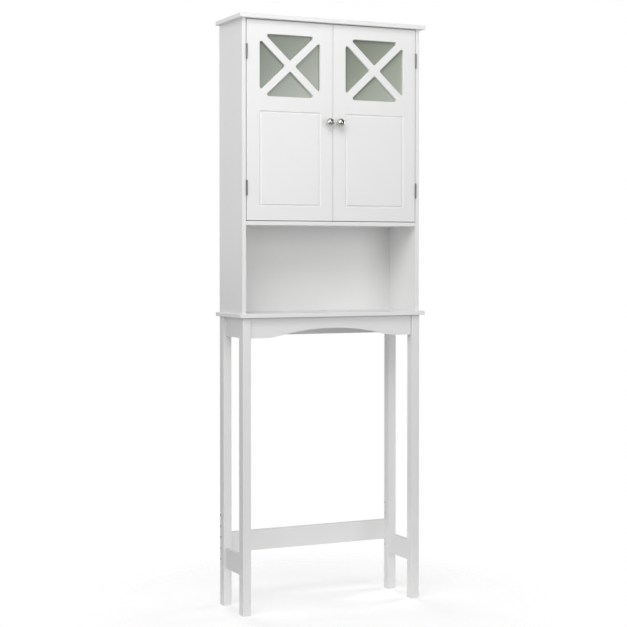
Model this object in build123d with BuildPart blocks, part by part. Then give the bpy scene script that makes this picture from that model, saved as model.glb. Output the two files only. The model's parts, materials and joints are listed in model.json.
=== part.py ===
"""Over-the-toilet storage rack: a two-door wall-side cabinet with an open shelf, on four tall legs.

Frame: millimetres, +Z up, +Y to the wall, X across. The origin is on the floor, midway across
the rack and midway between the wall plane and the tips of the door knobs.
"""
import os
from math import atan2, cos, degrees, hypot, radians, sin, sqrt

from build123d import *

os.makedirs("parts", exist_ok=True)

# ------------------------------------------------------------------ overall sizes
WIDTH = 590.0                 # across the top and base boards
DEPTH = 190.0                 # of the top and base boards, front edge to wall
LEG_LENGTH = 845.0            # floor to the underside of the base board
OPEN_SHELF_HEIGHT = 250.0     # clear height of the open shelf
DOOR_OPENING_HEIGHT = 569.0   # clear height of the closed compartment
SIDE_OVERHANG = 12.0          # boards past the side panels
FRONT_OVERHANG = 15.0         # boards past the fronts of the side panels
FRAME_SETBACK = 12.0          # fronts of the legs behind the front of the base board

# ------------------------------------------------------------------ boards
BOARD = 12.0                  # every board of the case
EDGE_ROUND = 1.5              # eased edges of boards, legs and doors
BACK_THICKNESS = 3.0
BACK_SETBACK = 7.0            # rear face of the back panel ahead of the wall plane
GROOVE_DEPTH = 6.0            # groove that the back panel sits in
GROOVE_CLEARANCE = 0.1        # each side of the back panel in its groove
BACK_CLEARANCE = 0.5          # back panel's edge to the bottom of its groove
SHELF_CLEARANCE = 1.0         # adjustable shelf to side panels and back panel
SHELF_FRONT_ROOM = 12.0       # adjustable shelf behind the doors
SHELF_HOLE_PITCH = 32.0
SHELF_HOLE_COUNT = 7
SHELF_HOLE_INSET = 30.0       # from the shelf's front and rear edges
SHELF_LEVEL = 3               # hole that holds the shelf, from 1
PIN_PEG_RADIUS = 2.5
PIN_PEG_DEPTH = 9.0
PIN_TONGUE = (9.0, 7.0, 2.5)  # reach, width and thickness of a shelf pin's flat tongue

# ------------------------------------------------------------------ leg frame
LEG_WIDTH = 25.0              # across, along X
LEG_DEPTH = 30.0              # front to back
RAIL = 12.0                   # thickness of aprons, lower rails and stretcher
APRON_HEIGHT = 58.0
APRON_SETBACK = 5.0           # front and rear aprons behind the faces of their legs
ARCH_FLAT = 46.0              # straight stretch of the front apron's lower edge beside each leg
ARCH_SWEEP = 44.0             # length of the reverse curve before the crown curve
ARCH_RISE = 25.5
LOWER_RAIL_HEIGHT = 60.0
LOWER_RAIL_LEVEL = 110.0      # floor to the underside of the lower side rails
STRETCHER_HEIGHT = 60.0
BOLT_HOLE_COUNT = 5           # in each rear leg, to set the stretcher clear of the pipes
BOLT_HOLE_PITCH = 32.0
FIRST_BOLT_HOLE = 134.0       # height of the lowest hole
BOLTS_IN = (1, 2)             # holes that hold the stretcher, from 0
BOLT_RADIUS = 2.0
BOLT_CLEARANCE = 0.1
BOLT_HEAD = (3.5, 4.0)        # radius and height
BOLT_BORE_RADIUS = 3.6
BOLT_BORE_DEPTH = 13.0
BOLT_LENGTH = 40.0
HEX_KEY = 3.0                 # across flats

# ------------------------------------------------------------------ hidden joinery
RAIL_DOWEL = (3.0, 24.0)      # radius and length
RAIL_DOWEL_SPREAD = 12.0      # above and below the middle of a rail
LEG_DOWEL = (4.0, 20.0)
LEG_DOWEL_IN_BOARD = 8.0
PANEL_DOWEL = (3.0, 24.0)
PANEL_DOWEL_IN_FACE = 8.0     # share of a panel dowel in the board it meets face on
FASTENER_INSET = 38.0         # cam bolts and panel screws from a side panel's front and rear
CAM_RADIUS = 7.5
CAM_FROM_END = 24.0           # cam centre from the end of its board
CAM_BOLT_IN_FACE = 8.0
CAM_BOLT_RADIUS = 2.5
CAM_BOLT_HEAD_RADIUS = 3.0
CAM_PAST_HEAD = 0.5           # a cam's floor beyond the head of its bolt
PANEL_SCREW = (2.5, 5.0, 45.0)    # shank radius, head radius and length
BRACKET = (20.0, 16.0, 1.5)       # leg length, width and thickness of an angle bracket
BRACKET_FROM_MIDDLE = 150.0       # brackets on the front and rear aprons
BRACKET_SCREW = (1.75, 3.4, 10.0)

# ------------------------------------------------------------------ doors
DOOR_THICKNESS = 15.0
SIDE_GAP = 2.0                # door to side panel, room for the two hinge leaves
MEETING_GAP = 1.2             # between the two doors
END_GAP = 1.6                 # above and below a door
STILE = 40.0                  # door edge to the side of the window
TOP_RAIL = 39.4
WINDOW_HEIGHT = 175.0
LOCK_RAIL = 44.4              # window to the grooved panel
CROSS_BAR = 21.0
CUTOUT_ROUND = 5.0
BOTTOM_RAIL = 43.2            # door's lower edge to the centre line of the groove
GROOVE_MARGIN = 41.8          # door's side edge to the centre line of the groove
GROOVE_TOP_WIDTH = 7.0
GROOVE_BOTTOM_WIDTH = 2.0
GROOVE_CUT = 2.5
REBATE_LIP = 8.0              # glass past the edge of the window
REBATE_DEPTH = 6.0
GLASS_THICKNESS = 4.0
GLASS_CLEARANCE = 0.5
CLIP_WIDTH = 12.0
CLIP_THICKNESS = 1.5
CLIP_REACH = 5.0              # over the glass
CLIP_FOOT = 10.0              # over the door
CLIP_SCREW = (1.5, 3.0, 9.0)

# ------------------------------------------------------------------ knobs and catch
KNOB_RADIUS = 12.25
KNOB_HALF_LENGTH = 11.0
KNOB_RIM_RADIUS = 9.5         # curve of the ball's side, seen from above
KNOB_REACH = 28.5             # door to the tip of the knob
KNOB_NECK_RADIUS = 4.2
KNOB_FOOT = (7.0, 1.5)        # radius and thickness
KNOB_FROM_EDGE = 16.1         # knob's centre from the meeting edge of its door
KNOB_SCREW = (2.0, 4.0, 2.5)  # shank radius, head radius and head height
KNOB_SCREW_GRIP = 8.0         # length of thread in the knob
STRIKE = (22.0, 9.0, 1.0)     # width, height and thickness
STRIKE_FROM_TOP = 7.4
STRIKE_FROM_MEETING_EDGE = 17.4
STRIKE_SCREW = (1.25, 2.0, 9.0)
CATCH_BLOCK = (62.0, 14.0, 14.0)  # width, depth and height of the housing
CATCH_EAR = (13.0, 3.0)           # reach and thickness
CATCH_GAP = 0.2                   # strike plate to housing
MAGNET = (22.0, 8.0, 9.0)
CATCH_SCREW = (1.5, 2.5, 10.0)

# ------------------------------------------------------------------ hinges
HINGE_LENGTH = 42.0
HINGE_INSET = 91.4            # hinge's middle from the end of the door
LEAF = 0.8
LEAF_WIDTH = 12.0
LEAF_FRONT = 0.3              # leaf's front edge behind the face of the door
LEAF_CORNER = 2.0
BARREL_RADIUS = 2.5
BARREL_STANDOFF = 0.1         # barrel ahead of the face of the door
KNUCKLES = 5
KNUCKLE_GAP = 0.2
HINGE_PIN_RADIUS = 1.25
HINGE_PIN_CLEARANCE = 0.05
HINGE_PIN_TIP = 0.8           # each end past the barrel
HINGE_SCREW_SPREAD = 13.0
HINGE_SCREW = (1.2, 1.9, 11.0)

# ------------------------------------------------------------------ sizes that follow
BODY_WIDTH = WIDTH - 2 * SIDE_OVERHANG
BODY_DEPTH = DEPTH - FRONT_OVERHANG
INNER = BODY_WIDTH / 2 - BOARD                  # inner face of a side panel, from the middle
WALL_Y = (BODY_DEPTH + KNOB_REACH) / 2
PANEL_FRONT = WALL_Y - BODY_DEPTH               # fronts of side panels and of the doors
BOARD_MIDDLE = WALL_Y - DEPTH / 2
BODY_MIDDLE = WALL_Y - BODY_DEPTH / 2
BACK_REAR = WALL_Y - BACK_SETBACK
BACK_FRONT = BACK_REAR - BACK_THICKNESS
BACK_MIDDLE = BACK_REAR - BACK_THICKNESS / 2

BASE_TOP = LEG_LENGTH + BOARD
SHELF_UNDER = BASE_TOP + OPEN_SHELF_HEIGHT
SHELF_TOP = SHELF_UNDER + BOARD
TOP_UNDER = SHELF_TOP + DOOR_OPENING_HEIGHT
HEIGHT = TOP_UNDER + BOARD
PANEL_X = BODY_WIDTH / 2 - BOARD / 2            # middle of a side panel

LEG_X = BODY_WIDTH / 2 - LEG_WIDTH / 2
FRONT_LEG_Y = WALL_Y - DEPTH + FRAME_SETBACK + LEG_DEPTH / 2
REAR_LEG_Y = WALL_Y - LEG_DEPTH / 2
BETWEEN_LEGS_X = 2 * LEG_X - LEG_WIDTH
BETWEEN_LEGS_Y = REAR_LEG_Y - FRONT_LEG_Y - LEG_DEPTH
FRAME_MIDDLE = (FRONT_LEG_Y + REAR_LEG_Y) / 2
FRONT_APRON_Y = FRONT_LEG_Y - LEG_DEPTH / 2 + APRON_SETBACK + RAIL / 2
REAR_APRON_Y = WALL_Y - APRON_SETBACK - RAIL / 2
APRON_MIDDLE = LEG_LENGTH - APRON_HEIGHT / 2
LOWER_RAIL_MIDDLE = LOWER_RAIL_LEVEL + LOWER_RAIL_HEIGHT / 2
STRETCHER_Y = WALL_Y - RAIL / 2
BOLT_HOLES = [FIRST_BOLT_HOLE + BOLT_HOLE_PITCH * i for i in range(BOLT_HOLE_COUNT)]
BOLT_LEVELS = [BOLT_HOLES[i] for i in BOLTS_IN]
STRETCHER_MIDDLE = sum(BOLT_LEVELS) / len(BOLT_LEVELS)

DOOR_WIDTH = INNER - SIDE_GAP - MEETING_GAP / 2
DOOR_HEIGHT = DOOR_OPENING_HEIGHT - 2 * END_GAP
DOOR_BOTTOM = SHELF_TOP + END_GAP
DOOR_TOP = DOOR_BOTTOM + DOOR_HEIGHT
DOOR_MIDDLE = DOOR_BOTTOM + DOOR_HEIGHT / 2
DOOR_X = MEETING_GAP / 2 + DOOR_WIDTH / 2
DOOR_BACK = PANEL_FRONT + DOOR_THICKNESS
WINDOW_WIDTH = DOOR_WIDTH - 2 * STILE
WINDOW_TOP = DOOR_TOP - TOP_RAIL
WINDOW_MIDDLE = WINDOW_TOP - WINDOW_HEIGHT / 2
GROOVE_BOTTOM = DOOR_BOTTOM + BOTTOM_RAIL
GROOVE_TOP = WINDOW_TOP - WINDOW_HEIGHT - LOCK_RAIL
REBATE_WIDTH = WINDOW_WIDTH + 2 * REBATE_LIP
REBATE_HEIGHT = WINDOW_HEIGHT + 2 * REBATE_LIP
KNOB_X = MEETING_GAP / 2 + KNOB_FROM_EDGE
STRIKE_X = MEETING_GAP / 2 + STRIKE_FROM_MEETING_EDGE
STRIKE_Z = DOOR_TOP - STRIKE_FROM_TOP
CATCH_FRONT = DOOR_BACK + STRIKE[2] + CATCH_GAP

SHELF_BACK = BACK_FRONT - SHELF_CLEARANCE
SHELF_FRONT = DOOR_BACK + SHELF_FRONT_ROOM
SHELF_ROWS = (SHELF_FRONT + SHELF_HOLE_INSET, SHELF_BACK - SHELF_HOLE_INSET)
SHELF_HOLES = [DOOR_MIDDLE + SHELF_HOLE_PITCH * (i - (SHELF_HOLE_COUNT - 1) / 2)
               for i in range(SHELF_HOLE_COUNT)]
LOOSE_SHELF_UNDER = SHELF_HOLES[SHELF_LEVEL - 1] + PIN_TONGUE[2] / 2

AXIS_X = INNER - SIDE_GAP / 2
AXIS_Y = PANEL_FRONT - BARREL_STANDOFF - BARREL_RADIUS
KNUCKLE = (HINGE_LENGTH - (KNUCKLES - 1) * KNUCKLE_GAP) / KNUCKLES
HINGE_LEVELS = {"upper": DOOR_TOP - HINGE_INSET, "lower": DOOR_BOTTOM + HINGE_INSET}
LEAF_SPACE = SIDE_GAP - 2 * LEAF                # between the two leaves of a closed hinge
LEAF_START = PANEL_FRONT + LEAF_FRONT
LEAF_MIDDLE = (LEAF_START + PANEL_FRONT + LEAF_WIDTH) / 2

FASTENER_YS = (PANEL_FRONT + FASTENER_INSET, WALL_Y - FASTENER_INSET)
CAM_DEPTH = BOARD / 2 + CAM_BOLT_HEAD_RADIUS + CAM_PAST_HEAD
SIDES = {"left": -1, "right": 1}
ENDS = {"front": FRONT_LEG_Y, "rear": REAR_LEG_Y}
UP, DOWN = (0, 0, 1), (0, 0, -1)
FRONT, BACK = (0, -1, 0), (0, 1, 0)
ACROSS = (1, 0, 0)
HANGING = (Align.CENTER, Align.CENTER, Align.MAX)
STANDING = (Align.CENTER, Align.CENTER, Align.MIN)


def save(piece, name):
    """Label a finished piece and write it to its own file."""
    piece.part.label = name
    export_step(piece.part, f"parts/{name}.step")


def facing(point, out, along=None):
    """A plane at a point, with its normal along out."""
    return Plane(origin=point, x_dir=along, z_dir=out)


def front_plane(y, x=0.0, z=0.0):
    """An upright plane that faces forward: its own x runs across and its own y runs up."""
    return Plane(origin=(x, y, z), x_dir=(1, 0, 0), z_dir=FRONT)


def drill(spots, radius, depth):
    """Drill a blind hole at each spot, a (mouth, outward direction) pair."""
    with Locations(*[facing(mouth, out) for mouth, out in spots]):
        Hole(radius, depth)


def countersunk_screws(spots, size, cross=0.7):
    """Add a countersunk screw at each spot, its head flush with the mouth, cut with a cross."""
    shank, head, length = size
    with Locations(*[facing(mouth, out) for mouth, out in spots]):
        Cylinder(shank, length, align=HANGING)
        Cone(shank, head, head - shank, align=HANGING)
        for width, depth in ((cross, 1.1 * head), (1.1 * head, cross)):
            Box(width, depth, 0.6 * (head - shank), align=HANGING, mode=Mode.SUBTRACT)


def pan_screws(spots, shank, head, height, length, cross=0.9):
    """Add a screw at each spot, with its domed head proud of the mouth, cut with a cross."""
    with Locations(*[facing(mouth, out) for mouth, out in spots]):
        Cylinder(shank, length, align=HANGING)
        Cylinder(head, 0.5 * height, align=STANDING)
        with Locations((0, 0, 0.5 * height)):
            Cone(head, 0.6 * head, 0.5 * height, align=STANDING)
        with Locations((0, 0, height)):
            for width, depth in ((cross, 1.1 * head), (1.1 * head, cross)):
                Box(width, depth, 0.5 * height, align=HANGING, mode=Mode.SUBTRACT)


def dowels(spots, size, in_face):
    """Add a fluted pin's plain envelope at each spot: in_face deep, the rest standing out."""
    radius, length = size
    with Locations(*[facing(mouth, out) for mouth, out in spots]):
        with Locations((0, 0, -in_face)):
            Cylinder(radius, length, align=STANDING)


# ------------------------------------------------------------------ where fasteners go
# Each spot is (mouth, outward direction) on the face or the end that is drilled.

def panel_end_spots(sign, level, out, ys):
    """Spots along the end of a side panel, or on the face of the board that it meets."""
    return [((sign * PANEL_X, y, level), out) for y in ys]


def shelf_end_spots(sign, ys, out_sign):
    """Spots where the end of the fixed shelf meets a side panel."""
    return [((sign * INNER, y, SHELF_UNDER + BOARD / 2), (out_sign, 0, 0)) for y in ys]


def leg_top_spots(out):
    """Spots where the four legs meet the base board."""
    return [((sign * LEG_X, y, LEG_LENGTH), out) for sign in SIDES.values() for y in ENDS.values()]


def cross_rail_spots(sign, y, toward):
    """Spots where the front or rear apron meets a leg; toward is +1 out of the leg."""
    x = sign * BETWEEN_LEGS_X / 2
    levels = (APRON_MIDDLE - RAIL_DOWEL_SPREAD, APRON_MIDDLE + RAIL_DOWEL_SPREAD)
    return [((x, y, z), (-sign * toward, 0, 0)) for z in levels]


def side_rail_spots(sign, end, middle, toward):
    """Spots where a side apron or lower rail meets a front (-1) or rear (+1) leg."""
    y = FRAME_MIDDLE + end * BETWEEN_LEGS_Y / 2
    levels = (middle - RAIL_DOWEL_SPREAD, middle + RAIL_DOWEL_SPREAD)
    return [((sign * LEG_X, y, z), (0, -end * toward, 0)) for z in levels]


def hinge_screw_spots(sign, centre, on_door):
    """Spots of one leaf's two screws, at the leaf's own inner face."""
    turn = 1 if on_door else -1
    x = sign * (AXIS_X - turn * LEAF_SPACE / 2)
    return [((x, LEAF_MIDDLE, centre + dz), (turn * sign, 0, 0))
            for dz in (-HINGE_SCREW_SPREAD, HINGE_SCREW_SPREAD)]


def behind_leaf(spots):
    """The same spots, moved to the wood behind the leaf."""
    return [((x - out[0] * LEAF, y, z), out) for (x, y, z), out in spots]


def bracket_planes():
    """Planes at the inner corners of base board and aprons: x into the room under the board."""
    planes = []
    for sign in SIDES.values():
        x = sign * BRACKET_FROM_MIDDLE
        planes.append(facing((x, FRONT_APRON_Y + RAIL / 2, LEG_LENGTH), UP, BACK))
        planes.append(facing((x, REAR_APRON_Y - RAIL / 2, LEG_LENGTH), UP, FRONT))
        side_x = sign * (LEG_X - RAIL / 2)
        planes.append(facing((side_x, FRAME_MIDDLE, LEG_LENGTH), UP, (-sign, 0, 0)))
    return planes


def bracket_screw_spots(into_board):
    """Mouths of the bracket screws, at the wood."""
    spots = []
    reach = 0.6 * BRACKET[0]
    for plane in bracket_planes():
        if into_board:
            spots.append((tuple(plane.from_local_coords((reach, 0, 0))), DOWN))
        else:
            spots.append((tuple(plane.from_local_coords((0, 0, -reach))), tuple(plane.x_dir)))
    return spots


# ------------------------------------------------------------------ case
def end_board(name, bottom, inner_level, out):
    """The top or the base board: eased on three edges, drilled and grooved on its inner face."""
    with BuildPart() as board:
        with BuildSketch(Plane.XY.offset(bottom)):
            with Locations((0, BOARD_MIDDLE)):
                Rectangle(WIDTH, DEPTH)
        extrude(amount=BOARD)
        flat_edges = board.edges().filter_by(Plane.XY)
        wall_edges = flat_edges.group_by(Axis.Y)[-1]
        fillet([edge for edge in flat_edges if edge not in wall_edges], EDGE_ROUND)
        with Locations(facing((0, BACK_MIDDLE, inner_level), out, ACROSS)):
            Box(2 * (INNER + GROOVE_DEPTH), BACK_THICKNESS + 2 * GROOVE_CLEARANCE,
                GROOVE_DEPTH, align=HANGING, mode=Mode.SUBTRACT)
        for sign in SIDES.values():
            drill(panel_end_spots(sign, inner_level, out, (BODY_MIDDLE,)),
                  PANEL_DOWEL[0], PANEL_DOWEL_IN_FACE)
            if name == "top_board":
                drill(panel_end_spots(sign, inner_level, out, FASTENER_YS),
                      CAM_BOLT_RADIUS, CAM_BOLT_IN_FACE)
            else:
                screws = panel_end_spots(sign, LEG_LENGTH, DOWN, FASTENER_YS)
                with Locations(*[facing(mouth, way) for mouth, way in screws]):
                    CounterSinkHole(PANEL_SCREW[0], PANEL_SCREW[1], BOARD, 90)
        if name == "top_board":
            drill(catch_screw_spots(TOP_UNDER), CATCH_SCREW[0], CATCH_SCREW[2] - CATCH_EAR[1])
        else:
            drill(leg_top_spots(DOWN), LEG_DOWEL[0], LEG_DOWEL_IN_BOARD)
            drill(bracket_screw_spots(True), BRACKET_SCREW[0], BRACKET_SCREW[2] - BRACKET[2])
    save(board, name)


def catch_screw_spots(level):
    """Spots of the catch's screws, one in each ear."""
    y = CATCH_FRONT + CATCH_BLOCK[1] / 2
    x = CATCH_BLOCK[0] / 2 + CATCH_EAR[0] / 2
    return [((sign * x, y, level), DOWN) for sign in SIDES.values()]


def side_panel(side, sign):
    """A side panel, with the groove, the rows of shelf holes and its fasteners' holes."""
    inward = (-sign, 0, 0)
    with BuildPart() as panel:
        with BuildSketch(Plane.XY.offset(BASE_TOP)):
            with Locations((sign * PANEL_X, BODY_MIDDLE)):
                Rectangle(BOARD, BODY_DEPTH)
        extrude(amount=TOP_UNDER - BASE_TOP)
        fillet(panel.edges().filter_by(Axis.Z).group_by(Axis.Y)[0], EDGE_ROUND)
        height = TOP_UNDER - BASE_TOP
        with Locations(facing((sign * INNER, BACK_MIDDLE, BASE_TOP + height / 2), inward, BACK)):
            Box(BACK_THICKNESS + 2 * GROOVE_CLEARANCE, height, GROOVE_DEPTH,
                align=HANGING, mode=Mode.SUBTRACT)
        drill([((sign * INNER, y, z), inward) for y in SHELF_ROWS for z in SHELF_HOLES],
              PIN_PEG_RADIUS, PIN_PEG_DEPTH)
        cams = [((sign * INNER, y, TOP_UNDER - CAM_FROM_END), inward) for y in FASTENER_YS]
        drill(cams, CAM_RADIUS, CAM_DEPTH)
        drill(panel_end_spots(sign, TOP_UNDER, UP, FASTENER_YS), CAM_BOLT_HEAD_RADIUS, CAM_FROM_END)
        drill(panel_end_spots(sign, TOP_UNDER, UP, (BODY_MIDDLE,)),
              PANEL_DOWEL[0], PANEL_DOWEL[1] - PANEL_DOWEL_IN_FACE)
        drill(panel_end_spots(sign, BASE_TOP, DOWN, (BODY_MIDDLE,)),
              PANEL_DOWEL[0], PANEL_DOWEL[1] - PANEL_DOWEL_IN_FACE)
        drill(panel_end_spots(sign, BASE_TOP, DOWN, FASTENER_YS),
              PANEL_SCREW[0], PANEL_SCREW[2] - BOARD)
        drill(shelf_end_spots(sign, FASTENER_YS, -sign), CAM_BOLT_RADIUS, CAM_BOLT_IN_FACE)
        drill(shelf_end_spots(sign, (BODY_MIDDLE,), -sign), PANEL_DOWEL[0], PANEL_DOWEL_IN_FACE)
        for centre in HINGE_LEVELS.values():
            drill(behind_leaf(hinge_screw_spots(sign, centre, False)),
                  HINGE_SCREW[0], HINGE_SCREW[2] - LEAF)
    save(panel, f"{side}_side_panel")


def fixed_shelf():
    """The board between the open shelf and the doors, held by cams from below."""
    with BuildPart() as shelf:
        with BuildSketch(Plane.XY.offset(SHELF_UNDER)):
            with Locations((0, (PANEL_FRONT + BACK_FRONT) / 2)):
                Rectangle(2 * INNER, BACK_FRONT - PANEL_FRONT)
        extrude(amount=BOARD)
        fillet(shelf.edges().filter_by(Axis.X).group_by(Axis.Y)[0], EDGE_ROUND)
        for sign in SIDES.values():
            x = sign * (INNER - CAM_FROM_END)
            drill([((x, y, SHELF_UNDER), DOWN) for y in FASTENER_YS], CAM_RADIUS, CAM_DEPTH)
            drill(shelf_end_spots(sign, FASTENER_YS, sign), CAM_BOLT_HEAD_RADIUS, CAM_FROM_END)
            drill(shelf_end_spots(sign, (BODY_MIDDLE,), sign),
                  PANEL_DOWEL[0], PANEL_DOWEL[1] - PANEL_DOWEL_IN_FACE)
    save(shelf, "fixed_shelf")


def adjustable_shelf():
    """The loose shelf behind the doors."""
    with BuildPart() as shelf:
        with BuildSketch(Plane.XY.offset(LOOSE_SHELF_UNDER)):
            with Locations((0, (SHELF_FRONT + SHELF_BACK) / 2)):
                Rectangle(2 * (INNER - SHELF_CLEARANCE), SHELF_BACK - SHELF_FRONT)
        extrude(amount=BOARD)
        fillet(shelf.edges().filter_by(Axis.X).group_by(Axis.Y)[0], EDGE_ROUND)
    save(shelf, "adjustable_shelf")


def shelf_pins():
    """Four pins: a round peg in the side panel and a flat tongue under the loose shelf."""
    reach, width, thickness = PIN_TONGUE
    level = SHELF_HOLES[SHELF_LEVEL - 1]
    with BuildPart() as pins:
        for sign in SIDES.values():
            for y in SHELF_ROWS:
                with Locations(facing((sign * INNER, y, level), (-sign, 0, 0), BACK)):
                    Cylinder(PIN_PEG_RADIUS, PIN_PEG_DEPTH, align=HANGING)
                    Box(width, thickness, reach, align=STANDING)
    save(pins, "shelf_pins")


def back_panel():
    """The thin back, held in grooves in the side panels and the two end boards."""
    margin = GROOVE_DEPTH - BACK_CLEARANCE
    with BuildPart() as back:
        with BuildSketch(front_plane(BACK_REAR, z=(BASE_TOP + TOP_UNDER) / 2)):
            Rectangle(2 * (INNER + margin), TOP_UNDER - BASE_TOP + 2 * margin)
        extrude(amount=BACK_THICKNESS)
    save(back, "back_panel")


# ------------------------------------------------------------------ leg frame
def leg(side, sign, end, y):
    """A leg, with dowel holes at its top and sides; a rear leg also has the row of bolt holes."""
    which = -1 if end == "front" else 1
    apron_y = FRONT_APRON_Y if end == "front" else REAR_APRON_Y
    with BuildPart() as post:
        with BuildSketch(Plane.XY):
            with Locations((sign * LEG_X, y)):
                Rectangle(LEG_WIDTH, LEG_DEPTH)
        extrude(amount=LEG_LENGTH)
        fillet(post.edges().filter_by(Axis.Z), EDGE_ROUND)
        drill([((sign * LEG_X, y, LEG_LENGTH), UP)], LEG_DOWEL[0], LEG_DOWEL[1] - LEG_DOWEL_IN_BOARD)
        drill(cross_rail_spots(sign, apron_y, 1), RAIL_DOWEL[0], RAIL_DOWEL[1] / 2)
        for middle in (APRON_MIDDLE, LOWER_RAIL_MIDDLE):
            drill(side_rail_spots(sign, which, middle, 1), RAIL_DOWEL[0], RAIL_DOWEL[1] / 2)
        if end == "rear":
            outer = sign * BODY_WIDTH / 2
            with Locations(*[facing((outer, STRETCHER_Y, z), (sign, 0, 0)) for z in BOLT_HOLES]):
                CounterBoreHole(BOLT_RADIUS + BOLT_CLEARANCE, BOLT_BORE_RADIUS,
                                BOLT_BORE_DEPTH, LEG_WIDTH)
    save(post, f"{end}_{side}_leg")


def cross_apron(name, y, arched):
    """The front apron, with its arched lower edge, or the plain rear apron."""
    half = BETWEEN_LEGS_X / 2
    low = LEG_LENGTH - APRON_HEIGHT
    start = half - ARCH_FLAT
    turn = start - ARCH_SWEEP
    inner_face = 1 if arched else -1
    with BuildPart() as apron:
        with BuildSketch(front_plane(y + RAIL / 2)):
            with Locations((0, APRON_MIDDLE)):
                Rectangle(2 * half, APRON_HEIGHT)
            if arched:
                with BuildLine():
                    for sign in SIDES.values():
                        knee = (sign * turn, low + ARCH_RISE * ARCH_SWEEP / start)
                        TangentArc((sign * start, low), knee, tangent=(-sign, 0))
                        TangentArc((0, low + ARCH_RISE), knee, tangent=(sign, 0))
                    Line((-start, low), (start, low))
                make_face(mode=Mode.SUBTRACT)
        extrude(amount=RAIL)
        for sign in SIDES.values():
            drill(cross_rail_spots(sign, y, -1), RAIL_DOWEL[0], RAIL_DOWEL[1] / 2)
        side_screws = [spot for spot in bracket_screw_spots(False) if spot[1][1] == inner_face]
        drill(side_screws, BRACKET_SCREW[0], BRACKET_SCREW[2] - BRACKET[2])
    save(apron, name)


def side_rail(name, sign, middle, height, bracketed):
    """A rail along the side of the frame, between the front and the rear leg."""
    with BuildPart() as rail:
        with BuildSketch(Plane.XY.offset(middle - height / 2)):
            with Locations((sign * LEG_X, FRAME_MIDDLE)):
                Rectangle(RAIL, BETWEEN_LEGS_Y)
        extrude(amount=height)
        fillet(rail.edges().filter_by(Axis.Y), EDGE_ROUND)
        for end in (-1, 1):
            drill(side_rail_spots(sign, end, middle, -1), RAIL_DOWEL[0], RAIL_DOWEL[1] / 2)
        if bracketed:
            screws = [spot for spot in bracket_screw_spots(False) if spot[1][0] == -sign]
            drill(screws, BRACKET_SCREW[0], BRACKET_SCREW[2] - BRACKET[2])
    save(rail, name)


def stretcher_bolt_seats(sign):
    """Where the bolt heads sit, at the bottom of the counterbores in a rear leg."""
    x = sign * (BODY_WIDTH / 2 - BOLT_BORE_DEPTH)
    return [((x, STRETCHER_Y, z), (sign, 0, 0)) for z in BOLT_LEVELS]


def rear_stretcher():
    """The rail between the rear legs, bolted at the height that clears the pipes."""
    grip = BOLT_LENGTH - (LEG_WIDTH - BOLT_BORE_DEPTH)
    with BuildPart() as rail:
        with BuildSketch(front_plane(WALL_Y, z=STRETCHER_MIDDLE)):
            Rectangle(BETWEEN_LEGS_X, STRETCHER_HEIGHT)
        extrude(amount=RAIL)
        fillet(rail.edges().filter_by(Axis.X), EDGE_ROUND)
        for sign in SIDES.values():
            ends = [((sign * BETWEEN_LEGS_X / 2, STRETCHER_Y, z), (sign, 0, 0)) for z in BOLT_LEVELS]
            drill(ends, BOLT_RADIUS, grip)
    save(rail, "rear_stretcher")


def stretcher_bolts():
    """Four cap screws with a hexagon socket."""
    radius, height = BOLT_HEAD
    with BuildPart() as bolts:
        for sign in SIDES.values():
            for seat, out in stretcher_bolt_seats(sign):
                with Locations(facing(seat, out)):
                    Cylinder(BOLT_RADIUS, BOLT_LENGTH, align=HANGING)
                    Cylinder(radius, height, align=STANDING)
                with BuildSketch(facing((seat[0] + sign * height, seat[1], seat[2]), out)):
                    RegularPolygon(HEX_KEY / 2, 6, major_radius=False)
                extrude(amount=-height / 2, mode=Mode.SUBTRACT)
    save(bolts, "stretcher_bolts")


# ------------------------------------------------------------------ hidden joinery
def rail_dowels():
    """Dowels between the aprons or lower rails and the legs."""
    half = RAIL_DOWEL[1] / 2
    with BuildPart() as pins:
        for sign in SIDES.values():
            for y in (FRONT_APRON_Y, REAR_APRON_Y):
                dowels(cross_rail_spots(sign, y, 1), RAIL_DOWEL, half)
            for end in (-1, 1):
                for middle in (APRON_MIDDLE, LOWER_RAIL_MIDDLE):
                    dowels(side_rail_spots(sign, end, middle, 1), RAIL_DOWEL, half)
    save(pins, "rail_dowels")


def leg_dowels():
    """Dowels between the tops of the legs and the base board."""
    with BuildPart() as pins:
        dowels(leg_top_spots(DOWN), LEG_DOWEL, LEG_DOWEL_IN_BOARD)
    save(pins, "leg_dowels")


def panel_dowels():
    """Dowels that line up the side panels with the end boards and the fixed shelf."""
    with BuildPart() as pins:
        for sign in SIDES.values():
            dowels(panel_end_spots(sign, TOP_UNDER, DOWN, (BODY_MIDDLE,)),
                   PANEL_DOWEL, PANEL_DOWEL_IN_FACE)
            dowels(panel_end_spots(sign, BASE_TOP, UP, (BODY_MIDDLE,)),
                   PANEL_DOWEL, PANEL_DOWEL_IN_FACE)
            dowels(shelf_end_spots(sign, (BODY_MIDDLE,), -sign), PANEL_DOWEL, PANEL_DOWEL_IN_FACE)
    save(pins, "panel_dowels")


def panel_screws():
    """Long screws up through the base board into the side panels."""
    with BuildPart() as screws:
        for sign in SIDES.values():
            countersunk_screws(panel_end_spots(sign, LEG_LENGTH, DOWN, FASTENER_YS),
                               PANEL_SCREW, cross=1.2)
    save(screws, "panel_screws")


def cam_joints():
    """Every cam's face centre, its outward direction and the way from cam to joint."""
    joints = []
    for sign in SIDES.values():
        for y in FASTENER_YS:
            joints.append(((sign * INNER, y, TOP_UNDER - CAM_FROM_END), (-sign, 0, 0), UP))
            x = sign * (INNER - CAM_FROM_END)
            joints.append(((x, y, SHELF_UNDER), DOWN, (sign, 0, 0)))
    return joints


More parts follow.
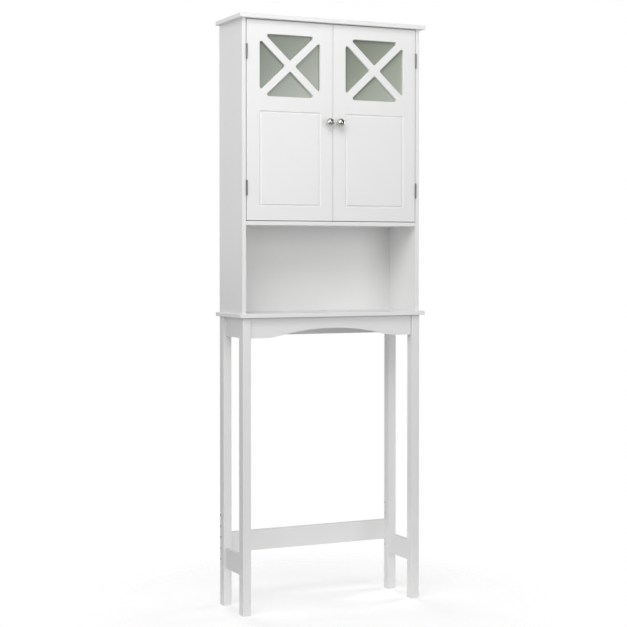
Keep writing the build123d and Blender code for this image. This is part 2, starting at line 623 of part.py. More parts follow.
def cam_locks():
    """Cam discs: slotted to take the head of the bolt, with a cross for the driver."""
    with BuildPart() as cams:
        for face, out, toward in cam_joints():
            with Locations(facing(face, out, toward)):
                Cylinder(CAM_RADIUS, CAM_DEPTH, align=HANGING)
                with Locations((0, 0, -BOARD / 2)):
                    Box(2 * CAM_RADIUS, 2 * CAM_BOLT_HEAD_RADIUS, 2 * CAM_BOLT_HEAD_RADIUS,
                        align=(Align.MIN, Align.CENTER, Align.CENTER), mode=Mode.SUBTRACT)
                for width, depth in ((1.4, 9.0), (9.0, 1.4)):
                    Box(width, depth, 1.8, align=HANGING, mode=Mode.SUBTRACT)
    save(cams, "cam_locks")


def cam_bolts():
    """Bolts screwed into the face of one board, their heads held by the cams of the next."""
    neck, head = 3.0, 3.0
    shank = CAM_FROM_END - neck - head
    with BuildPart() as bolts:
        for face, out, toward in cam_joints():
            mouth = Vector(*face) - Vector(*out) * (BOARD / 2) + Vector(*toward) * CAM_FROM_END
            with Locations(facing(tuple(mouth), toward)):
                Cylinder(CAM_BOLT_RADIUS, CAM_BOLT_IN_FACE, align=STANDING)
                Cylinder(CAM_BOLT_RADIUS, shank, align=HANGING)
                with Locations((0, 0, -shank)):
                    Cylinder(0.6 * CAM_BOLT_RADIUS, neck, align=HANGING)
                with Locations((0, 0, -shank - neck)):
                    Cylinder(CAM_BOLT_HEAD_RADIUS, head, align=HANGING)
    save(bolts, "cam_bolts")


def apron_brackets():
    """Angle brackets that hold the base board down on the aprons."""
    length, width, thickness = BRACKET
    with BuildPart() as brackets:
        with Locations(*bracket_planes()):
            Box(length, width, thickness, align=(Align.MIN, Align.CENTER, Align.MAX))
            Box(thickness, width, length, align=(Align.MIN, Align.CENTER, Align.MAX))
        for into_board in (True, False):
            spots = bracket_screw_spots(into_board)
            with Locations(*[facing(mouth, out) for mouth, out in spots]):
                with Locations((0, 0, thickness)):
                    Hole(BRACKET_SCREW[0], thickness)
    save(brackets, "apron_brackets")


def bracket_screws():
    """Two short screws in each bracket."""
    shank, head, length = BRACKET_SCREW
    with BuildPart() as screws:
        for into_board in (True, False):
            spots = []
            for mouth, out in bracket_screw_spots(into_board):
                spots.append((tuple(Vector(*mouth) + Vector(*out) * BRACKET[2]), out))
            pan_screws(spots, shank, head, 2.0, length)
    save(screws, "bracket_screws")


# ------------------------------------------------------------------ catch
def magnet_centres():
    """Middle of each magnet, at the front face of the housing."""
    return [(sign * STRIKE_X, CATCH_FRONT, TOP_UNDER - CATCH_BLOCK[2] / 2 - 1) for sign in SIDES.values()]


def magnetic_catch():
    """The double catch under the top board: a housing with two ears and two magnet pockets."""
    width, depth, height = CATCH_BLOCK
    with BuildPart() as housing:
        with BuildSketch(Plane.XY.offset(TOP_UNDER)):
            with Locations((0, CATCH_FRONT + depth / 2)):
                Rectangle(width, depth)
        extrude(amount=-height)
        fillet(housing.edges().filter_by(Axis.Y).group_by(Axis.Z)[0], EDGE_ROUND)
        with BuildSketch(Plane.XY.offset(TOP_UNDER)):
            with Locations((0, CATCH_FRONT + depth / 2)):
                SlotOverall(width + 2 * CATCH_EAR[0], depth - 2)
        extrude(amount=-CATCH_EAR[1])
        with Locations(*[facing(point, FRONT, ACROSS) for point in magnet_centres()]):
            Box(MAGNET[0], MAGNET[1], MAGNET[2], align=HANGING, mode=Mode.SUBTRACT)
        with Locations(*[facing(m, out) for m, out in catch_screw_spots(TOP_UNDER - CATCH_EAR[1])]):
            CounterSinkHole(CATCH_SCREW[0], CATCH_SCREW[1], CATCH_EAR[1], 90)
    save(housing, "magnetic_catch")


def catch_magnets():
    """Two block magnets, one for each door."""
    with BuildPart() as magnets:
        with Locations(*[facing(point, FRONT, ACROSS) for point in magnet_centres()]):
            Box(MAGNET[0], MAGNET[1], MAGNET[2], align=HANGING)
    save(magnets, "catch_magnets")


def catch_screws():
    """Two screws that hold the catch to the top board."""
    with BuildPart() as screws:
        countersunk_screws(catch_screw_spots(TOP_UNDER - CATCH_EAR[1]), CATCH_SCREW)
    save(screws, "catch_screws")


# ------------------------------------------------------------------ hinges
def hinge_leaf(name, sign, centre, on_door):
    """A butt hinge's leaf, rolled into its own share of the knuckles."""
    turn = 1 if on_door else -1
    sheet_x = sign * (AXIS_X - turn * (LEAF_SPACE + LEAF) / 2)
    bottom = centre - HINGE_LENGTH / 2
    bore = HINGE_PIN_RADIUS + (HINGE_PIN_CLEARANCE if on_door else 0)
    first = 1 if on_door else 0
    with BuildPart() as leaf:
        with BuildSketch(Plane.XY.offset(bottom)):
            with Locations((sheet_x, LEAF_MIDDLE)):
                Rectangle(LEAF, PANEL_FRONT + LEAF_WIDTH - LEAF_START)
        extrude(amount=HINGE_LENGTH)
        fillet(leaf.edges().filter_by(Axis.X).group_by(Axis.Y)[-1], LEAF_CORNER)
        for k in range(first, KNUCKLES, 2):
            with BuildSketch(Plane.XY.offset(bottom + k * (KNUCKLE + KNUCKLE_GAP))):
                with Locations((sign * AXIS_X, AXIS_Y)):
                    Circle(BARREL_RADIUS)
                with Locations((sheet_x, (AXIS_Y + LEAF_START) / 2)):
                    Rectangle(LEAF, LEAF_START - AXIS_Y)
            extrude(amount=KNUCKLE)
        with Locations((sign * AXIS_X, AXIS_Y, bottom)):
            Cylinder(bore, HINGE_LENGTH, align=STANDING, mode=Mode.SUBTRACT)
        spots = hinge_screw_spots(sign, centre, on_door)
        with Locations(*[facing(mouth, out) for mouth, out in spots]):
            CounterSinkHole(HINGE_SCREW[0], HINGE_SCREW[1], LEAF, 90)
    save(leaf, name)


def hinge_pins(side, sign):
    """The pins of one door's two hinges, with shallow domed ends."""
    with BuildPart() as pins:
        for centre in HINGE_LEVELS.values():
            with Locations((sign * AXIS_X, AXIS_Y, centre)):
                Cylinder(HINGE_PIN_RADIUS, HINGE_LENGTH)
            for end, way in ((1, STANDING), (-1, HANGING)):
                with Locations((sign * AXIS_X, AXIS_Y, centre + end * HINGE_LENGTH / 2)):
                    Cylinder(0.8 * BARREL_RADIUS, HINGE_PIN_TIP, align=way)
        ends = pins.edges().filter_by(GeomType.CIRCLE).group_by(SortBy.RADIUS)[-1]
        outer = [edge for edge in ends if abs(abs(edge.center().Z - nearest(edge)) -
                                              HINGE_LENGTH / 2) > HINGE_PIN_TIP / 2]
        fillet(outer, 0.6 * HINGE_PIN_TIP)
    save(pins, f"{side}_hinge_pins")


def nearest(edge):
    """The level of the hinge that an edge belongs to."""
    return min(HINGE_LEVELS.values(), key=lambda level: abs(level - edge.center().Z))


def leaf_screws(name, on_door, signs):
    """The screws of the leaves on the doors or on the side panels."""
    with BuildPart() as screws:
        for sign in signs:
            for centre in HINGE_LEVELS.values():
                countersunk_screws(hinge_screw_spots(sign, centre, on_door), HINGE_SCREW, cross=0.6)
    save(screws, name)


# ------------------------------------------------------------------ doors
def door_panel(side, sign):
    """A door: window with crossed bars over a grooved panel, rebated behind for the glass."""
    x = sign * DOOR_X
    groove_width = DOOR_WIDTH - 2 * GROOVE_MARGIN
    groove_height = GROOVE_TOP - GROOVE_BOTTOM
    slope = degrees(atan2((GROOVE_TOP_WIDTH - GROOVE_BOTTOM_WIDTH) / 2, GROOVE_CUT))
    lean = degrees(atan2(WINDOW_HEIGHT, WINDOW_WIDTH))
    with BuildPart() as door:
        with BuildSketch(front_plane(DOOR_BACK, x, DOOR_MIDDLE)):
            Rectangle(DOOR_WIDTH, DOOR_HEIGHT)
        extrude(amount=DOOR_THICKNESS)
        with BuildSketch(front_plane(PANEL_FRONT, x, WINDOW_MIDDLE)) as cutouts:
            Rectangle(WINDOW_WIDTH, WINDOW_HEIGHT)
            for angle in (lean, -lean):
                Rectangle(2 * hypot(WINDOW_WIDTH, WINDOW_HEIGHT), CROSS_BAR,
                          rotation=angle, mode=Mode.SUBTRACT)
            fillet(cutouts.vertices(), CUTOUT_ROUND)
        extrude(amount=-DOOR_THICKNESS, mode=Mode.SUBTRACT)
        fillet(door.faces().sort_by(Axis.Y)[0].edges(), EDGE_ROUND)
        with BuildSketch(front_plane(DOOR_BACK, x, WINDOW_MIDDLE)):
            Rectangle(REBATE_WIDTH, REBATE_HEIGHT)
        extrude(amount=REBATE_DEPTH, mode=Mode.SUBTRACT)
        with BuildSketch(front_plane(PANEL_FRONT, x, (GROOVE_BOTTOM + GROOVE_TOP) / 2)):
            Rectangle(groove_width + GROOVE_TOP_WIDTH, groove_height + GROOVE_TOP_WIDTH)
            Rectangle(groove_width - GROOVE_TOP_WIDTH, groove_height - GROOVE_TOP_WIDTH,
                      mode=Mode.SUBTRACT)
        extrude(amount=-GROOVE_CUT, taper=slope, mode=Mode.SUBTRACT)
        drill([((sign * KNOB_X, PANEL_FRONT, DOOR_MIDDLE), FRONT)], KNOB_SCREW[0] + 0.25,
              DOOR_THICKNESS)
        for centre in HINGE_LEVELS.values():
            drill(behind_leaf(hinge_screw_spots(sign, centre, True)),
                  HINGE_SCREW[0], HINGE_SCREW[2] - LEAF)
        drill([(point, BACK) for point in clip_screw_points(sign, 0)],
              CLIP_SCREW[0], CLIP_SCREW[2] - CLIP_THICKNESS)
        drill([((sign * STRIKE_X, DOOR_BACK, STRIKE_Z), BACK)],
              STRIKE_SCREW[0], STRIKE_SCREW[2] - STRIKE[2])
    save(door, f"{side}_door_panel")


def clip_planes(sign):
    """Planes on the back of the door, at the middle of each side of the rebate: x points away."""
    planes = []
    for angle in (0, 90, 180, 270):
        across, up = round(cos(radians(angle))), round(sin(radians(angle)))
        point = (sign * DOOR_X + across * REBATE_WIDTH / 2, DOOR_BACK,
                 WINDOW_MIDDLE + up * REBATE_HEIGHT / 2)
        planes.append(facing(point, BACK, (across, 0, up)))
    return planes


def clip_screw_points(sign, proud):
    """Points of the clip screws, at the back of the door or proud of it."""
    return [tuple(plane.from_local_coords((CLIP_FOOT / 2, 0, proud)))
            for plane in clip_planes(sign)]


def glass(side, sign):
    """The pane, laid in the rebate from behind."""
    with BuildPart() as pane:
        with BuildSketch(front_plane(DOOR_BACK - REBATE_DEPTH + GLASS_THICKNESS,
                                     sign * DOOR_X, WINDOW_MIDDLE)):
            Rectangle(REBATE_WIDTH - 2 * GLASS_CLEARANCE, REBATE_HEIGHT - 2 * GLASS_CLEARANCE)
        extrude(amount=GLASS_THICKNESS)
    save(pane, f"{side}_glass")


def glass_clips(side, sign):
    """Four cranked clips that press the pane into its rebate."""
    toe = REBATE_DEPTH - GLASS_THICKNESS
    with BuildPart() as clips:
        with Locations(*clip_planes(sign)):
            with Locations((-CLIP_REACH, 0, 0)):
                Box(CLIP_REACH + CLIP_FOOT, CLIP_WIDTH, CLIP_THICKNESS,
                    align=(Align.MIN, Align.CENTER, Align.MIN))
                Box(CLIP_REACH - 1, CLIP_WIDTH, toe, align=(Align.MIN, Align.CENTER, Align.MAX))
        drill([(point, BACK) for point in clip_screw_points(sign, CLIP_THICKNESS)],
              CLIP_SCREW[0], CLIP_THICKNESS)
    save(clips, f"{side}_glass_clips")


def clip_screws(side, sign):
    """The screws of one door's glass clips."""
    shank, head, length = CLIP_SCREW
    with BuildPart() as screws:
        pan_screws([(point, BACK) for point in clip_screw_points(sign, CLIP_THICKNESS)],
                   shank, head, 2.0, length)
    save(screws, f"{side}_clip_screws")


def knob(side, sign):
    """A round knob, a little flattened, on a waisted neck and a small foot.

    The ball's profile is an oval of two circles: a crown arc over the axis, front and back,
    and a rim arc tangent to both.
    """
    foot_radius, foot = KNOB_FOOT
    waist = foot + foot_radius - KNOB_NECK_RADIUS
    middle = KNOB_REACH - KNOB_HALF_LENGTH
    rim = KNOB_RADIUS - KNOB_RIM_RADIUS
    crown = (rim**2 + KNOB_HALF_LENGTH**2 - KNOB_RIM_RADIUS**2) / (
        2 * (KNOB_HALF_LENGTH - KNOB_RIM_RADIUS))
    lean = atan2(crown - KNOB_HALF_LENGTH, rim)
    join = (crown * cos(lean), crown * sin(lean) - crown + KNOB_HALF_LENGTH)
    ball_back = middle - KNOB_HALF_LENGTH + crown - sqrt(crown**2 - KNOB_NECK_RADIUS**2)
    base = (sign * KNOB_X, PANEL_FRONT, DOOR_MIDDLE)
    with BuildPart() as ball:
        with BuildSketch(Plane(origin=base, x_dir=ACROSS, z_dir=DOWN)):
            with BuildLine():
                TangentArc((0, KNOB_REACH), (join[0], middle + join[1]), tangent=(1, 0))
                ThreePointArc((join[0], middle + join[1]), (KNOB_RADIUS, middle),
                              (join[0], middle - join[1]))
                TangentArc((join[0], middle - join[1]), (KNOB_NECK_RADIUS, ball_back),
                           tangent=(-sin(lean), -cos(lean)))
                Line((KNOB_NECK_RADIUS, ball_back), (KNOB_NECK_RADIUS, waist))
                TangentArc((KNOB_NECK_RADIUS, waist), (foot_radius, foot), tangent=(0, -1))
                Polyline((foot_radius, foot), (foot_radius, 0), (0, 0), (0, KNOB_REACH))
            make_face()
        revolve(axis=Axis(base, FRONT))
        drill([(base, BACK)], KNOB_SCREW[0], KNOB_SCREW_GRIP + 2)
    save(ball, f"{side}_knob")


def knob_screw(side, sign):
    """The machine screw from behind the door into the knob."""
    shank, head, height = KNOB_SCREW
    with BuildPart() as screw:
        pan_screws([((sign * KNOB_X, DOOR_BACK, DOOR_MIDDLE), BACK)], shank, head, height,
                   DOOR_THICKNESS + KNOB_SCREW_GRIP, cross=1.1)
    save(screw, f"{side}_knob_screw")


def strike_plate(side, sign):
    """The steel plate on the back of the door that the magnet holds."""
    width, height, thickness = STRIKE
    with BuildPart() as plate:
        with BuildSketch(front_plane(DOOR_BACK + thickness, sign * STRIKE_X, STRIKE_Z)):
            RectangleRounded(width, height, 1.5)
        extrude(amount=thickness)
        with Locations(facing((sign * STRIKE_X, DOOR_BACK + thickness, STRIKE_Z), BACK)):
            CounterSinkHole(STRIKE_SCREW[0], STRIKE_SCREW[1], thickness, 90)
    save(plate, f"{side}_strike_plate")


def strike_screw(side, sign):
    """The screw of a strike plate."""
    with BuildPart() as screw:
        countersunk_screws([((sign * STRIKE_X, DOOR_BACK + STRIKE[2], STRIKE_Z), BACK)],
                           STRIKE_SCREW, cross=0.6)
    save(screw, f"{side}_strike_screw")


# ------------------------------------------------------------------ the rack
end_board("top_board", TOP_UNDER, TOP_UNDER, DOWN)
end_board("base_board", LEG_LENGTH, BASE_TOP, UP)
fixed_shelf()
adjustable_shelf()
shelf_pins()
back_panel()
for side, sign in SIDES.items():
    side_panel(side, sign)
    for end, y in ENDS.items():
        leg(side, sign, end, y)
    side_rail(f"{side}_apron", sign, APRON_MIDDLE, APRON_HEIGHT, True)
    side_rail(f"{side}_lower_rail", sign, LOWER_RAIL_MIDDLE, LOWER_RAIL_HEIGHT, False)
cross_apron("front_apron", FRONT_APRON_Y, True)
cross_apron("rear_apron", REAR_APRON_Y, False)
rear_stretcher()
stretcher_bolts()
rail_dowels()
leg_dowels()
panel_dowels()
panel_screws()
cam_locks()
cam_bolts()
apron_brackets()
bracket_screws()
magnetic_catch()
catch_magnets()
catch_screws()
for side, sign in SIDES.items():
    for level, centre in HINGE_LEVELS.items():
        hinge_leaf(f"{side}_{level}_frame_leaf", sign, centre, False)
        hinge_leaf(f"{side}_{level}_door_leaf", sign, centre, True)
    hinge_pins(side, sign)
    leaf_screws(f"{side}_door_leaf_screws", True, (sign,))
    door_panel(side, sign)
    glass(side, sign)
    glass_clips(side, sign)
    clip_screws(side, sign)
    knob(side, sign)
    knob_screw(side, sign)
    strike_plate(side, sign)
    strike_screw(side, sign)
leaf_screws("frame_leaf_screws", False, SIDES.values())
print(f"rack {WIDTH:.0f} wide, {BODY_DEPTH + KNOB_REACH:.1f} deep over the knobs, {HEIGHT:.0f} high")
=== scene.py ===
# %% [markdown]
# # Over-the-toilet storage rack
# A tall white cabinet for a bathroom: four legs that straddle the toilet, an open shelf, and a
# closed compartment behind two doors. Every structural piece arrives ready made as a CAD node, in
# metres, with its edges already eased. The work here is what a camera sees: the finishes, and the
# few small pieces whose curves want a finer surface than a CAD export gives them.

import json
from math import radians

import bmesh
import bpy
import numpy as np
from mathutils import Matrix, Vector


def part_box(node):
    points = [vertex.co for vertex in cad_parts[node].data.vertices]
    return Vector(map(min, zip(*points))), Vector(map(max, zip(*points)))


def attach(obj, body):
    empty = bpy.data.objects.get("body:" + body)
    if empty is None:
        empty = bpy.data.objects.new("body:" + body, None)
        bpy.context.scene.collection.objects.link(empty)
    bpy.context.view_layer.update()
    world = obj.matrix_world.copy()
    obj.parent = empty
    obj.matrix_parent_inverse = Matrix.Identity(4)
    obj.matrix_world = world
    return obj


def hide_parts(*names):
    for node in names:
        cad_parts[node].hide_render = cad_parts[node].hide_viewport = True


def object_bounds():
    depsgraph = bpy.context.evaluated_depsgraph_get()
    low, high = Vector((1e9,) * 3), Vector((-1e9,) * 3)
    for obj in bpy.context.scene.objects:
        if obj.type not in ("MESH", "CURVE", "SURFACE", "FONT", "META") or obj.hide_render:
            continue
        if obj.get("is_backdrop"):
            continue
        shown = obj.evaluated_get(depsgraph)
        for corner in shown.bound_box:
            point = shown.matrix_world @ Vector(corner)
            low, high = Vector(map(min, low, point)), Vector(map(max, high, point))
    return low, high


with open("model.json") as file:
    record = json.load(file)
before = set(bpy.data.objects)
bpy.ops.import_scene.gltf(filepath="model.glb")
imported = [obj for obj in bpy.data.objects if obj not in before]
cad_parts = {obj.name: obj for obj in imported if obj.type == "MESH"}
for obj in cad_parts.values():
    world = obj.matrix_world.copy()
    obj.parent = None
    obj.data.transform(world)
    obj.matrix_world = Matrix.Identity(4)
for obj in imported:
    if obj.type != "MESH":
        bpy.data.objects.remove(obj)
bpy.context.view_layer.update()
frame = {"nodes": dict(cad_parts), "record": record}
nodes = frame["nodes"]

# %% [markdown]
# ## A small language for finishes
# A Blender material is a graph of nodes. Written out link by link it is hard to read, so one class
# wraps a socket and lets Python's own operators add the Math nodes: `0.4 + 0.1 * grain` then reads
# as the formula it is. Everything else a finish needs comes from one method, `node`, which sets a
# node's settings first, because some settings decide which sockets it has.


# %% Sockets that do arithmetic
class Wire:
    """One output socket. Each operator adds the Math node of the same meaning."""

    def __init__(self, finish, socket):
        self.finish, self.socket = finish, socket

    def math(self, operation, *values):
        return self.finish.node("Math", {"operation": operation}, dict(enumerate(values)))

    def __add__(self, other):
        return self.math("ADD", self, other)

    def __sub__(self, other):
        return self.math("SUBTRACT", self, other)

    def __rsub__(self, other):
        return self.math("SUBTRACT", other, self)

    def __mul__(self, other):
        return self.math("MULTIPLY", self, other)

    def __pow__(self, other):
        return self.math("POWER", self, other)

    def __abs__(self):
        return self.math("ABSOLUTE", self)

    __radd__ = __add__
    __rmul__ = __mul__


# %% One method for every other node
class Finish:
    """A material whose Principled shader is fed by expressions."""

    def __init__(self, name, **constants):
        self.material = bpy.data.materials.new(name)
        self.material.use_nodes = True
        self.tree = self.material.node_tree
        self.shader = self.tree.nodes["Principled BSDF"]
        for socket, value in constants.items():
            self.shader.inputs[socket.replace("_", " ")].default_value = value

    def feed(self, target, value):
        """Links a Wire to a socket, or writes a plain value on it."""
        if isinstance(value, Wire):
            self.tree.links.new(value.socket, target)
        else:
            target.default_value = value

    def node(self, kind, settings=None, inputs=None, output=0):
        """Adds a node, sets its settings, then its sockets, and returns one of its outputs."""
        node = self.tree.nodes.new("ShaderNode" + kind)
        for key, value in (settings or {}).items():
            setattr(node, key, value)
        for key, value in (inputs or {}).items():
            self.feed(node.inputs[key], value)
        return Wire(self, node.outputs[output])

    def place(self):
        """Where a point is on the rack, in metres."""
        return self.node("TexCoord", output="Object")

    def axes(self):
        """The same place as three numbers: across, towards the wall, and up."""
        split = self.node("SeparateXYZ", {}, {"Vector": self.place()}).socket.node
        return [Wire(self, socket) for socket in split.outputs]

    def noise(self, size, detail=2.0, stretch=(1.0, 1.0, 1.0)):
        """Soft random blotches about `size` metres across, longer where `stretch` is above 1."""
        scale = tuple(1.0 / (size * s) for s in stretch)
        where = self.node("Mapping", {}, {"Vector": self.place(), "Scale": scale})
        return self.node("TexNoise", {}, {"Vector": where, "Scale": 1.0, "Detail": detail}, "Fac")

    def blend(self, amount, first, second):
        """A colour between two others."""
        ends = [c if isinstance(c, Wire) else (*c, 1) for c in (first, second)]
        return self.node("Mix", {"data_type": "RGBA"}, {"Factor": amount, 6: ends[0], 7: ends[1]}, 2)

    def slope(self, value, start, end):
        """An even ramp: 0 where `value` is `start`, 1 where it is `end`, and flat beyond."""
        span = {"Value": value, "From Min": start, "From Max": end}
        return self.node("MapRange", {}, span)

    def bump(self, height, depth):
        """Tilts the surface as if `height`, 0 to 1, raised it by up to `depth` metres."""
        self.surface(Normal=self.node("Bump", {}, {"Height": height, "Distance": depth}))

    def surface(self, **inputs):
        """Feeds what changes over the surface into the Principled shader."""
        for key, value in inputs.items():
            self.feed(self.shader.inputs[key.replace("_", " ")], value)


def shade(colour, share):
    """The same colour, darkened evenly to a share of its brightness."""
    return tuple(share * c for c in colour)


# %% [markdown]
# ## White lacquer on fibreboard
# The boards are fibreboard, sanded, primed and sprayed with a satin white. Three things tell paint
# from plastic. The white is never quite even, because the spray lands a little thicker here and
# there. The film dries with orange peel, a dimpled skin a couple of millimetres across and a few
# hundredths of a millimetre deep. And the gloss changes slowly along a board. Each is one layer of
# noise at its own scale, and they all read the point's place on the rack, so nothing stretches.


# %% Sprayed paint
FIBREBOARD = (0.16, 0.12, 0.08)
UNEVEN = 0.965  # how bright the dimmest white is, as a share of the brightest
# How dark the painted shade in an open joint is, as a share of the white.
PAINTED_JOINT_SHADE = 0.5


def sprayed(name, colour, roughness, peel_depth, joint_shade=None, bare=None):
    """Two near whites a few parts in a hundred apart, uneven gloss, and orange peel.

    The first mask, if any, gives the painted shade in the open hairlines of the joints: 0 on open
    paint and 1 in the joint. `bare` gives the walls drilled after painting, in the same way, and they
    show the brown core of the board.
    """
    finish = Finish(name, IOR=1.47, Specular_IOR_Level=0.45)
    paint = finish.blend(finish.noise(0.16, 3.0), shade(colour, UNEVEN), colour)
    if joint_shade:
        # Painted shade in the open hairlines of the joints.
        paint = finish.blend(joint_shade(finish), paint, shade(colour, PAINTED_JOINT_SHADE))
    if bare:
        paint = finish.blend(bare(finish), paint, FIBREBOARD)
    finish.surface(
        Base_Color=paint,
        Roughness=roughness - 0.05 + 0.10 * finish.noise(0.05, 2.0),
    )
    peel = finish.noise(0.0022, 2.0)
    sanding = finish.noise(0.012, 1.0)
    finish.bump(0.6 * peel + 0.4 * sanding, peel_depth)
    return finish.material


# %% [markdown]
# ## Painted shade at the joints
# The leg frame is put together after it is painted, so paint never bridges its joints. Where an
# apron butts against a leg, and where the frame meets the base board, a hairline stays open and falls
# into shade. It is far too thin to model, so its shade is painted: the paint itself darkens over the
# last three millimetres before a joint. The front apron's own box says where the joints are.


# %% Where the frame's joints are
_, apron_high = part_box("front_apron")
LINE_START, LINE_FULL = 0.0028, 0.0008  # metres before a joint where its line starts and is full


def shade_under_board(finish):
    """Painted shade under the base board: rises from 0 to 1 over the top of the frame, just under it.
    """
    _, _, up = finish.axes()
    return finish.slope(up, apron_high.z - LINE_START, apron_high.z - LINE_FULL)


def apron_joint_shade(finish):
    """Painted shade under the board, and at each end of an apron, whichever is darker."""
    across, _, _ = finish.axes()
    end = finish.slope(abs(across), apron_high.x - LINE_START, apron_high.x - LINE_FULL)
    return end.math("MAXIMUM", end, shade_under_board(finish))


# %% [markdown]
# ## Drilled holes
# Each rear leg has a row of holes for the bolts of the stretcher, so that it can be set clear of the
# pipes. They are drilled through the painted leg, and their walls are bare fibreboard, brown and
# unlit. The walls are part of the same CAD node as the painted faces, so the finish has to find
# them: they lie inside the leg, not on its two faces, and close to the axis of a hole. The bolts
# say where the holes are. Each leg holds two bolts in neighbouring holes, and a hole's wider end
# has a little room round the head. The right leg stands for both, as the rack is symmetric.

# %% Where the holes are
bolts_low, bolts_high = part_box("stretcher_bolts")
leg_low, leg_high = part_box("rear_right_leg")
HEAD = bolts_high.y - bolts_low.y
HOLE_PITCH = bolts_high.z - bolts_low.z - HEAD
SKIN = 0.0003  # depth under a painted face that still counts as paint
HOLE_RADIUS = HEAD / 2 + SKIN  # past the wall of the wider end, which has 0.1 mm round the head


def drilled(finish):
    """1 on the walls of the bolt holes of the rear legs, 0 on the painted faces.

    The heights repeat with the pitch of the holes, counted from the lowest bolt's axis, which is
    a head's radius above the lowest point of the bolts.
    """
    across, back, up = finish.axes()
    side = abs(across)
    back = back - (bolts_low.y + bolts_high.y) / 2
    axis = bolts_low.z + HEAD / 2
    up = up.math("WRAP", up - axis, HOLE_PITCH / 2, -HOLE_PITCH / 2)
    soft_rim = 1e-7  # square metres over which the edge of the mask fades
    near = finish.slope(back**2.0 + up**2.0, HOLE_RADIUS**2 + soft_rim, HOLE_RADIUS**2)
    past_inner_face = finish.slope(side, leg_low.x + SKIN, leg_low.x + 2 * SKIN)
    short_of_outer_face = finish.slope(side, leg_high.x - SKIN, leg_high.x - 2 * SKIN)
    return near * past_inner_face * short_of_outer_face


# %% Five sprays of white
WHITE = (0.845, 0.845, 0.840)
# Painted shade: the legs, which stand in the shade of the cabinet, get a white a little darker than
# the boards'.
LEG_WHITE = shade(WHITE, 0.985)
board_paint = sprayed("satin_white_boards", WHITE, 0.42, 0.00002)
door_paint = sprayed("satin_white_doors", WHITE, 0.38, 0.000015)
leg_paint = sprayed("satin_white_legs", LEG_WHITE, 0.42, 0.00002, shade_under_board)
drilled_paint = sprayed("satin_white_drilled_legs", LEG_WHITE, 0.42, 0.00002, shade_under_board, drilled)
apron_paint = sprayed("satin_white_aprons", LEG_WHITE, 0.42, 0.00002, apron_joint_shade)
print("frame meets the base board", round(apron_high.z, 4), "m up")

# %% [markdown]
# ## White hardboard
# The back is one thin sheet of hardboard. Its good face, towards the room, is smooth and white. Its
# rear face keeps the print of the wire screen it was pressed on, a fine square weave. One material
# can serve both faces: the surface normal says which way a point faces, and only points that face
# the wall get the weave.


# %% Hardboard with a screen-printed rear
def hardboard(name, colour, screen_pitch):
    """Smooth paint, plus sin(x) times sin(z) dimples where the surface normal points to the wall."""
    finish = Finish(name, Roughness=0.5, Specular_IOR_Level=0.35)
    turn = 2 * np.pi / screen_pitch
    across, _, up = finish.axes()
    waves = [w.math("SINE", turn * w) for w in (across, up)]
    normal = finish.node("NewGeometry", output="Normal")
    facing = finish.node("SeparateXYZ", {}, {"Vector": normal}, "Y")
    rear = facing.math("GREATER_THAN", facing, 0.5)
    pulp = finish.noise(0.004, 3.0)
    finish.surface(
        Base_Color=finish.blend(finish.noise(0.10, 3.0), shade(colour, UNEVEN), colour),
        Roughness=0.42 + 0.12 * pulp,
    )
    finish.bump(0.5 + rear * 0.4 * waves[0] * waves[1] + 0.1 * pulp, 0.00008)
    return finish.material


back_face = hardboard("white_hardboard", WHITE, 0.0018)

# %% [markdown]
# ## Tempered glass
# Each door holds a pane behind its crossed bars. Thick glass of this kind is faintly green and shows
# the dim inside of the cabinet behind it. Real refraction would cost a lot of rendering and add
# little in a flat pane, so the pane is part clear and part a grey-green haze: Alpha lets the shelf
# behind show through, and the smooth clear surface mirrors the room. A very slow ripple in the normal
# keeps those reflections from being ruler straight. The haze is painted light: it is darker at the
# top left, painted shade of the dim inside, and paler towards the lower right, a painted reflection
# of something bright there. This painted shade and reflection are in the glass's own colour and not
# in the light, so they stay where they are when a door opens.


# %% Glass
def pane_glass(name, dim, pale, clear):
    """A painted haze of shade and reflection that goes from `dim` at the top left of the two panes to
    `pale` at their lower right.

    The share of `pale` is two fifths an even slope down a pane, a tenth one across that pane, and
    half one across both panes.
    """
    finish = Finish(name, Roughness=0.06, IOR=1.52, Coat_Weight=0.3, Coat_Roughness=0.03)
    (left, _, foot), (right, _, head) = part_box("right_glass")
    across, _, up = finish.axes()
    in_pane = across.math("WRAP", across, right, -left)
    # Painted light: the share of the pale colour, painted shade at the top left and a painted
    # reflection at the lower right.
    painted_light_share = (
        0.40 * finish.slope(up, head, foot)
        + 0.10 * finish.slope(in_pane, left, right)
        + 0.50 * finish.slope(across, -right, right)
    )
    finish.surface(
        Base_Color=finish.blend(painted_light_share, dim, pale),
        Alpha=(1 - clear) + 0.02 * finish.noise(0.07, 1.0),
    )
    finish.bump(finish.noise(0.12, 0.0, (3.0, 1.0, 1.0)), 0.0001)
    return finish.material


glass = pane_glass("tempered_glass", (0.085, 0.108, 0.060), (0.560, 0.600, 0.525), 0.18)

# %% [markdown]
# ## Metals
# The rack has four: chrome on the knobs, nickel-plated steel in the hinges, zinc-plated screws and
# brackets, and cast zinc in the cams. They share one recipe and differ in three ways: how bright
# they are, how rough, and which way their polishing lines run. Chrome is all but a mirror, with a
# trace of finger grease. Plated steel keeps fine lines along its length, and a casting is pebbled.


# %% Metals
def metal(name, colour, roughness, grain=0.0008, stretch=(1.0, 1.0, 1.0), depth=0.00001):
    """Fully metallic, with patches of slightly different gloss over a fine stretched grain."""
    finish = Finish(name, Metallic=1.0)
    patches = finish.noise(0.006, 2.0)
    finish.surface(
        Base_Color=finish.blend(patches, shade(colour, 0.9), colour),
        Roughness=roughness * 0.75 + roughness * 0.5 * patches,
    )
    finish.bump(finish.noise(grain, 2.0, stretch), depth)
    return finish.material


